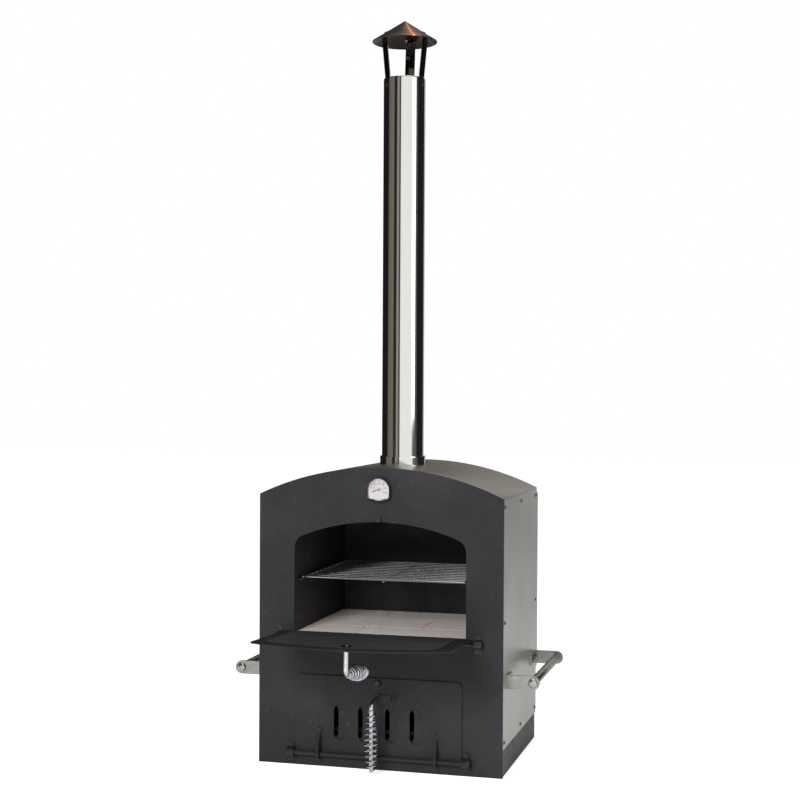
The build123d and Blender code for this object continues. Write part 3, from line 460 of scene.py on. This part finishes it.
def raiseSurround():
    # a tall screen seen only in reflections, so polished metal has dark and light bands to show
    bm = bmesh.new()
    bmesh.ops.create_circle(bm, segments=surround["steps"], radius=surround["radius"])
    grown = bmesh.ops.extrude_edge_only(bm, edges=bm.edges[:])
    lifted = [item for item in grown["geom"] if isinstance(item, bmesh.types.BMVert)]
    bmesh.ops.translate(bm, verts=lifted, vec=(0, 0, surround["height"]))
    screen = meshObject("studioSurround", bm)
    finish = Finish("surroundFinish", (0, 0, 0), 1.0)
    angle = finish.combine("ARCTAN2", finish.along("Y"), finish.along("X"))
    ramp = finish.node("ShaderNodeValToRGB", Fac=finish.spread(angle, -math.pi, math.pi))
    stops = ramp.color_ramp.elements
    stops.remove(stops[1])
    for index, (degrees, colour) in enumerate(surround["bands"]):
        place = (degrees + 180) / 360
        stop = stops[index] if index < 1 else stops.new(place)
        stop.position = place
        stop.color = (*colour, 1)
    glow = finish.node("ShaderNodeEmission", Color=ramp.outputs["Color"])
    finish.tree.links.new(glow.outputs[0], finish.tree.nodes["Material Output"].inputs["Surface"])
    screen.data.materials.append(finish.material)
    for kind in ("camera", "diffuse", "transmission", "volume_scatter", "shadow"):
        setattr(screen, "visible_" + kind, False)


placeCamera()
lightWorld()
hangLamps()
layFloor()
raiseSurround()
print("studio ready")


def dress(piece, slot, body, *replaced):
    piece.data.materials.clear()
    piece.data.materials.append(materials[slot])
    if replaced:
        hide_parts(*replaced)
    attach(piece, body)
    return piece


def stand(nodeName, suffix, bm, smooth=True):
    # a finished mesh takes the place of its plain node
    return dress(meshObject(nodeName + suffix, bm, smooth), slotOf[nodeName], bodyOf[nodeName], nodeName)


# refined copies of the plain nodes
rounding = {
    "flat": math.radians(0.4),      # faces that meet at less than this are one
    "sharp": math.radians(35),      # edges sharper than this are rounded over
    "bend": 0.01,                   # radians between two facets of a curve, at least
    "facet": 0.02,                  # square metres of a curve's largest facet
    "strip": 1.5,                   # a rounded strip's width, as a share of the rounding, at most
    "wide": 1.0,                    # a rounding of more millimetres than this has a third strip
}


def joinedCopy(nodeName):
    # the node's loose triangles merged, with its flat faces made whole again
    bm = bmesh.new()
    bm.from_mesh(nodes[nodeName].data)
    bmesh.ops.remove_doubles(bm, verts=bm.verts, dist=2 * weld)
    bmesh.ops.dissolve_limit(
        bm, angle_limit=rounding["flat"], use_dissolve_boundaries=False, verts=bm.verts, edges=bm.edges
    )
    return bm


def roundedCopy(nodeName, width):
    # the same part with its edges rounded over by a width in millimetres
    bm = joinedCopy(nodeName)
    limit = rounding["sharp"]
    sharp = [edge for edge in bm.edges if len(edge.link_faces) == 2 and edge.calc_face_angle(0) > limit]
    bmesh.ops.bevel(
        bm, geom=sharp, offset=width * mm, offset_type="OFFSET", segments=3 if width > rounding["wide"] else 2,
        profile=0.5, affect="EDGES", clamp_overlap=True, material=-1,
    )
    widest = rounding["strip"] * width * mm
    strips = {face for face in bm.faces if 2 * face.calc_area() < widest * face.calc_perimeter()}
    for face in bm.faces:
        # rounded strips and the facets of a curve shade smoothly, flat faces don't
        bent = [edge for edge in face.edges if rounding["bend"] < edge.calc_face_angle(0) <= limit]
        curved = any(other is not face and other not in strips for edge in bent for other in edge.link_faces)
        face.smooth = face in strips or (curved and face.calc_area() < rounding["facet"])
    return bm


edging = {   # rounding in millimetres of each sheet, bar, bolt and casting
    "front_panel": 0.5, "left_side_panel": 0.3, "right_side_panel": 0.3, "roof_sheet": 0.4,
    "rear_panel": 0.4, "rear_cover": 0.5, "base_tray": 0.6,
    "upper_door_skin": 0.6, "upper_door_liner": 0.4, "lower_door_skin": 0.6, "air_shutter": 0.35,
    "shutter_guides": 0.3, "upper_door_ribs": 0.6, "lower_door_ribs": 0.6,
    "upper_latch_lever": 0.6, "lower_latch_lever": 0.6,
    "upper_hinge_saddles": 0.6, "lower_hinge_saddles": 0.6,
    "carry_brackets": 0.7, "cap_straps": 0.3, "fire_grate": 1.2, "ash_pan": 0.3,
    "rack_rails": 0.3, "hearth_shelf": 0.4, "thermometer_case": 0.4, "thermometer_needle": 0.15,
    "saddle_bolts": 0.5, "bracket_bolts": 0.5, "lower_rib_bolts": 0.4, "catch_studs": 0.4,
    "hearth_tiles": 1.1,
}
for nodeName, width in edging.items():
    stand(nodeName, "Edged", roundedCopy(nodeName, width), smooth=None)
print("sheets edged:", len(edging))

smoothed = [   # round pieces that only need merged, evenly shaded faces
    "upper_hinge_rod", "lower_hinge_rod", "upper_handle_rod", "lower_handle_rod",
    "upper_handle_ring", "lower_handle_ring", "thermometer_lens", "thermometer_dial", "thermometer_stem",
]
for nodeName in smoothed:
    stand(nodeName, "Smooth", joinedCopy(nodeName))
print("round pieces smoothed:", len(smoothed))


def lathe(bm, profile, steps, place=Matrix()):
    # spins a profile of (radius, height) pairs about Z, then moves it to its place
    before = set(bm.verts)
    ring = [bm.verts.new((radius, 0, height)) for radius, height in profile]
    line = [bm.edges.new(pair) for pair in zip(ring, ring[1:])]
    bmesh.ops.spin(
        bm, geom=ring + line, cent=(0, 0, 0), axis=(0, 0, 1), dvec=(0, 0, 0), angle=2 * math.pi,
        steps=steps, use_merge=True, use_normal_flip=False, use_duplicate=False,
    )
    bmesh.ops.remove_doubles(bm, verts=[vert for vert in bm.verts if vert not in before], dist=weld)
    bmesh.ops.transform(bm, matrix=place, verts=[vert for vert in bm.verts if vert not in before])


def standing(spot, axis):
    # turns local Z to the axis and moves it to the spot
    return Matrix.Translation(spot) @ Vector(axis).to_track_quat("Z", "Y").to_matrix().to_4x4()


def above(low, high):
    # moves what was turned about Z to the middle of a box, seen from above
    return Matrix.Translation(((low.x + high.x) / 2, (low.y + high.y) / 2, 0))


def outward(bm):
    bmesh.ops.recalc_face_normals(bm, faces=bm.faces)
    return bm


def meshOfCurve(curve):
    # the solid mesh of a curve or a text, which is then removed
    holder = bpy.data.objects.new(curve.name, curve)
    scene.collection.objects.link(holder)
    bpy.context.view_layer.update()
    mesh = bpy.data.meshes.new_from_object(holder.evaluated_get(bpy.context.evaluated_depsgraph_get()))
    bpy.data.objects.remove(holder)
    return mesh


def solidsOf(nodeName):
    # the separate solids of a node, each as its centre and its two corners
    bm = joinedCopy(nodeName)
    left = set(bm.verts)
    found = []
    while left:
        group = [left.pop()]
        for vert in group:
            for edge in vert.link_edges:
                other = edge.other_vert(vert)
                if other in left:
                    left.discard(other)
                    group.append(other)
        low = Vector([min(vert.co[axis] for vert in group) for axis in range(3)])
        high = Vector([max(vert.co[axis] for vert in group) for axis in range(3)])
        found.append(((low + high) / 2, low, high))
    bm.free()
    return sorted(found, key=lambda entry: tuple(round(value, 4) for value in entry[0]))


# chimney tube and its collar
tube = {
    "steps": 128,
    "wall": 1.2 * mm,
    "roll": 2.2 * mm,         # height of the turned top edge
    "rollInset": 0.2 * mm,
    "collarWall": 3.4 * mm,
    "collarLip": 1.2 * mm,
}


def makeChimney():
    low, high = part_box("chimney_pipe")
    middle = above(low, high)
    outer = (high.x - low.x) / 2
    inner = outer - tube["wall"]
    roll, inset = tube["roll"], tube["rollInset"]
    bm = bmesh.new()
    # the extra loops below the turned edge keep the shading of the wall even
    lathe(bm, [
        (inner, low.z), (outer, low.z), (outer, high.z - 2 * roll), (outer, high.z - roll),
        (outer - inset, high.z - ease * roll), ((outer + inner) / 2, high.z),
        (inner + inset, high.z - ease * roll), (inner, high.z - roll), (inner, high.z - 2 * roll),
        (inner, low.z),
    ], tube["steps"], middle)
    stand("chimney_pipe", "Tube", outward(bm))

    low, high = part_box("flue_collar")
    outer = (high.x - low.x) / 2
    inner = outer - tube["collarWall"]
    lip = tube["collarLip"]
    bm = bmesh.new()
    lathe(bm, [
        (inner, low.z), (outer, low.z), (outer, high.z - 2 * lip), (outer, high.z - lip),
        (outer - ease * lip, high.z - ease * lip), (outer - lip, high.z),
        (inner + ease * lip, high.z), (inner, high.z - ease * lip), (inner, low.z),
    ], tube["steps"], middle)
    stand("flue_collar", "Ring", outward(bm))


makeChimney()
print("chimney turned")

# rain cap
cap = {
    "steps": 96,
    "sheet": 1.8 * mm,      # straight down through the slope
    "hem": 1.3 * mm,        # radius of the folded brim
    "hemTurns": (60, 30, 0, -30, -60, -90, -120, -150),    # degrees round the brim
    "tipRadius": 1.5 * mm,
    "tipBlunt": 0.3 * mm,
    "rivetHead": 3.4 * mm,
    "rivetDome": 1.5 * mm,
    "rivetSteps": 16,
}


def makeCap():
    low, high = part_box("cap_cone")
    outer = (high.x - low.x) / 2
    hem, sheet, tip, blunt = (cap[key] for key in ("hem", "sheet", "tipRadius", "tipBlunt"))
    slope = (high.z - low.z - sheet) / outer
    brim = low.z + hem

    def top(radius):
        return high.z - slope * radius

    upper, under = outer - 3 * hem, outer - 4 * hem    # where the slope ends above and below
    profile = [(0, high.z - blunt), (tip, top(tip) - blunt / 3), (upper, top(upper))]
    for degrees in cap["hemTurns"]:
        angle = math.radians(degrees)
        profile.append((outer - hem + hem * math.cos(angle), brim + hem * math.sin(angle)))
    profile += [(under, top(under) - sheet), (0, high.z - sheet)]
    bm = bmesh.new()
    lathe(bm, profile, cap["steps"], above(low, high))
    stand("cap_cone", "Spun", outward(bm))


def domeProfile(radius, height, recess=0.0, depth=0.0):
    # a button head, with a round driver recess if it has one, a little narrower at its floor
    points = [(0, 0), (radius, 0)]
    for degrees in (22.5, 45, 67.5, 90):
        angle = math.radians(degrees)
        points.append((recess + (radius - recess) * math.cos(angle), height * math.sin(angle)))
    if recess:
        points += [(recess * 0.94, height - depth), (0, height - depth)]
    return points


def makeRivets():
    coneLow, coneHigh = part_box("cap_cone")
    flue = (coneLow + coneHigh) / 2
    slope = (coneHigh.z - coneLow.z) / ((coneHigh.x - coneLow.x) / 2)
    bm = bmesh.new()
    for centre, *corners in solidsOf("cap_rivets"):
        out = Vector((centre.x - flue.x, centre.y - flue.y, 0)).normalized()
        axis = (out * slope + Vector((0, 0, 1))).normalized() if centre.z > coneLow.z else out
        spot = centre - axis * cap["rivetDome"] / 2
        lathe(bm, domeProfile(cap["rivetHead"], cap["rivetDome"]), cap["rivetSteps"], standing(spot, axis))
    stand("cap_rivets", "Domed", outward(bm))


makeCap()
makeRivets()
print("rain cap spun")

# domed screws
screws = {
    "casingDome": 1.9 * mm,
    "casingRecess": 1.5 * mm,
    "casingDepth": 1.0 * mm,
    "casingSteps": 20,
    "barDome": 4.6 * mm,
    "barHeadHeight": 5.0 * mm,
    "barRecess": 3.0 * mm,
    "barDepth": 2.2 * mm,
    "barShank": 3.8 * mm,
    "barSteps": 32,
}


def makeCasingScrews():
    bm = bmesh.new()
    for centre, low, high in solidsOf("casing_screws"):
        size = high - low
        thin = min(range(3), key=lambda index: size[index])
        axis = Vector((0, 0, 0))
        axis[thin] = 1 if centre[thin] > 0 else -1
        head = domeProfile(max(size) / 2, screws["casingDome"], screws["casingRecess"], screws["casingDepth"])
        lathe(bm, head, screws["casingSteps"], standing(centre - axis * size[thin] / 2, axis))
    stand("casing_screws", "Domed", outward(bm))


def makeBarScrews():
    bm = bmesh.new()
    for centre, low, high in solidsOf("bar_screws"):
        axis = Vector((0, -1 if centre.y < 0 else 1, 0))
        tip = low.y if centre.y < 0 else high.y
        seat = Vector((centre.x, tip, centre.z)) - axis * screws["barHeadHeight"]
        head = domeProfile((high.x - low.x) / 2, screws["barDome"], screws["barRecess"], screws["barDepth"])
        shank = screws["barShank"]
        depth = high.y - low.y - screws["barHeadHeight"]
        head[:1] = [(0, -depth), (shank, -depth), (shank, 0)]
        lathe(bm, head, screws["barSteps"], standing(seat, axis))
    stand("bar_screws", "Domed", outward(bm))


makeCasingScrews()
makeBarScrews()
print("screws made")

# carrying bars
bars = {"steps": 48, "soft": 1.2 * mm, "bore": 3.9 * mm}


def makeCarryBars():
    bm = bmesh.new()
    soft, bore = bars["soft"], bars["bore"]
    for centre, low, high in solidsOf("carry_bars"):
        length = high.y - low.y
        outer = (high.x - low.x) / 2
        foot = [(bore, 0), (outer - soft, 0), (outer - ease * soft, ease * soft), (outer, soft)]
        profile = foot + [(radius, length - height) for radius, height in reversed(foot)] + [(bore, 0)]
        lathe(bm, profile, bars["steps"], standing((centre.x, high.y, centre.z), (0, -1, 0)))
    stand("carry_bars", "Tubes", outward(bm))


makeCarryBars()
print("carrying bars made")

# coil grips
coil = {
    "turns": 11,
    "wire": 1.3 * mm,
    "rod": 4.0 * mm,
    "middle": 14.5 * mm,
    "skew": 1.15,            # the widest turns sit a little past the middle
    "stepsPerTurn": 24,
    "fineness": 3,
    "length": 112 * mm,
    "upperTilt": -8.5,       # degrees from level, along the open upper door
}


def coilGrip(side, middle, along):
    # one wire wound round the handle, tight on the rod at both ends and full at its middle
    across = Vector((1, 0, 0))
    other = along.cross(across).normalized()
    wire = coil["wire"]
    least, most = coil["rod"] + wire, coil["middle"] - wire
    steps = coil["turns"] * coil["stepsPerTurn"]
    path = bpy.data.curves.new(side + "CoilPath", "CURVE")
    path.dimensions = "3D"
    spline = path.splines.new("POLY")
    spline.points.add(steps)
    start = middle - along * (coil["length"] / 2 - wire)
    for step in range(steps + 1):
        share = step / steps
        radius = least + (most - least) * math.sin(math.pi * share ** coil["skew"])
        angle = 2 * math.pi * coil["turns"] * share
        spot = start + along * ((coil["length"] - 2 * wire) * share)
        spot += across * (radius * math.cos(angle)) + other * (radius * math.sin(angle))
        spline.points[step].co = (*spot, 1)
    path.bevel_depth = wire
    path.bevel_resolution = coil["fineness"]
    path.use_fill_caps = True
    bm = bmesh.new()
    bm.from_mesh(meshOfCurve(path))
    bmesh.ops.remove_doubles(bm, verts=bm.verts, dist=weld)
    stand(side + "_handle_grip", "Coil", outward(bm))


tilt = math.radians(coil["upperTilt"])
for side, along in (("upper", (0, math.cos(tilt), math.sin(tilt))), ("lower", (0, 0, -1))):
    gripLow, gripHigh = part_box(side + "_handle_grip")
    coilGrip(side, (gripLow + gripHigh) / 2, Vector(along))
print("coil grips wound")

# cooking rack
rack = {
    "frame": 3.0 * mm,
    "wire": 2.0 * mm,
    "endWire": 2.6 * mm,
    "wireCount": 12,
    "past": 2.0 * mm,       # the wires' rounded ends stand past the side rods' middles
    "lift": 0.9 * mm,       # of the wires above the side rods' middles
    "stayDrop": 3.4 * mm,
    "steps": 16,
    "roundEnd": ((0, 0), (0.5, 0.12), (0.87, 0.45), (1, 0.9)),    # out and along, as shares of the radius
}


def roundBar(bm, start, end, radius):
    # a straight wire with rounded ends
    length = (end - start).length
    foot = [(radius * out, radius * up) for out, up in rack["roundEnd"]]
    profile = foot + [(wide, length - height) for wide, height in reversed(foot)]
    lathe(bm, profile, rack["steps"], standing(start, end - start))


def makeRack():
    low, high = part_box("cooking_rack")
    rod = rack["frame"]
    sideX, level = high.x - rod, high.z - rod
    first, last = low.y + rod, high.y - rod
    bm = bmesh.new()
    for side in (-1, 1):
        roundBar(bm, Vector((side * sideX, low.y, level)), Vector((side * sideX, high.y, level)), rod)
    stay = level - rack["stayDrop"]
    roundBar(bm, Vector((0, first, stay)), Vector((0, last, stay)), rack["wire"])
    reach, z = sideX + rack["past"], level + rack["lift"]
    for index in range(rack["wireCount"]):
        y = first + index * (last - first) / (rack["wireCount"] - 1)
        radius = rack["endWire"] if index in (0, rack["wireCount"] - 1) else rack["wire"]
        roundBar(bm, Vector((-reach, y, z)), Vector((reach, y, z)), radius)
    stand("cooking_rack", "Wires", outward(bm))


makeRack()
print("rack made")

# printing on the thermometer's dial
gauge = {
    "markLift": 0.12 * mm,
    "scaleRadius": 16.5 * mm,
    "sweepStart": 205.0,    # degrees, from the right, turning left
    "sweepEnd": -25.0,
    "divisions": 30,
    "majorEvery": 5,
    "majorMark": (3.0 * mm, 0.8 * mm),    # length, width
    "minorMark": (1.8 * mm, 0.4 * mm),
    "hotFrom": 24,          # the division where the red end starts
    "numbers": ("0", "100", "200", "300", "400", "500", "600"),
    "numberSize": 3.6 * mm,
    "numberRadius": 11.2 * mm,
}


def scaleDegrees(share):
    # the direction of a point part of the way along the scale
    return gauge["sweepStart"] + (gauge["sweepEnd"] - gauge["sweepStart"]) * share


def dialPlace(radius, degrees):
    # a point on the face of the dial, seen from the front
    angle = math.radians(degrees)
    centre = joints["needle_turn"]["pos_m"]
    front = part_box("thermometer_dial")[0].y
    return Vector((centre[0] + radius * math.cos(angle), front, centre[2] + radius * math.sin(angle)))


def dialMark(bm, degrees, inner, outer, width):
    # a thin printed stroke that points at the dial's centre
    turn = Matrix.Rotation(-math.radians(degrees), 4, "Y")
    size = Matrix.Diagonal((outer - inner, 2 * gauge["markLift"], width, 1))
    place = Matrix.Translation(dialPlace((inner + outer) / 2, degrees))
    bmesh.ops.create_cube(bm, size=1, matrix=place @ turn @ size)


def makeDialMarks():
    black, red = bmesh.new(), bmesh.new()
    rim = gauge["scaleRadius"]
    for index in range(gauge["divisions"] + 1):
        length, width = gauge["minorMark"] if index % gauge["majorEvery"] else gauge["majorMark"]
        colour = red if index >= gauge["hotFrom"] else black
        dialMark(colour, scaleDegrees(index / gauge["divisions"]), rim - length, rim, width)
    dress(meshObject("dialMarksBlack", black, smooth=False), "gauge_black", "oven")
    dress(meshObject("dialMarksRed", red, smooth=False), "gauge_red", "oven")


def makeDialNumbers():
    bm = bmesh.new()
    upright = Matrix.Rotation(math.radians(90), 4, "X")
    for index, text in enumerate(gauge["numbers"]):
        letters = bpy.data.curves.new("dialNumber", "FONT")
        letters.body = text
        letters.size = gauge["numberSize"]
        letters.extrude = gauge["markLift"]
        letters.align_x = "CENTER"
        letters.align_y = "CENTER"
        mesh = meshOfCurve(letters)
        degrees = scaleDegrees(index / (len(gauge["numbers"]) - 1))
        mesh.transform(Matrix.Translation(dialPlace(gauge["numberRadius"], degrees)) @ upright)
        bm.from_mesh(mesh)
    bmesh.ops.remove_doubles(bm, verts=bm.verts, dist=weld)
    dress(meshObject("dialNumbers", outward(bm), smooth=False), "gauge_black", "oven")


makeDialMarks()
makeDialNumbers()
print("thermometer made")
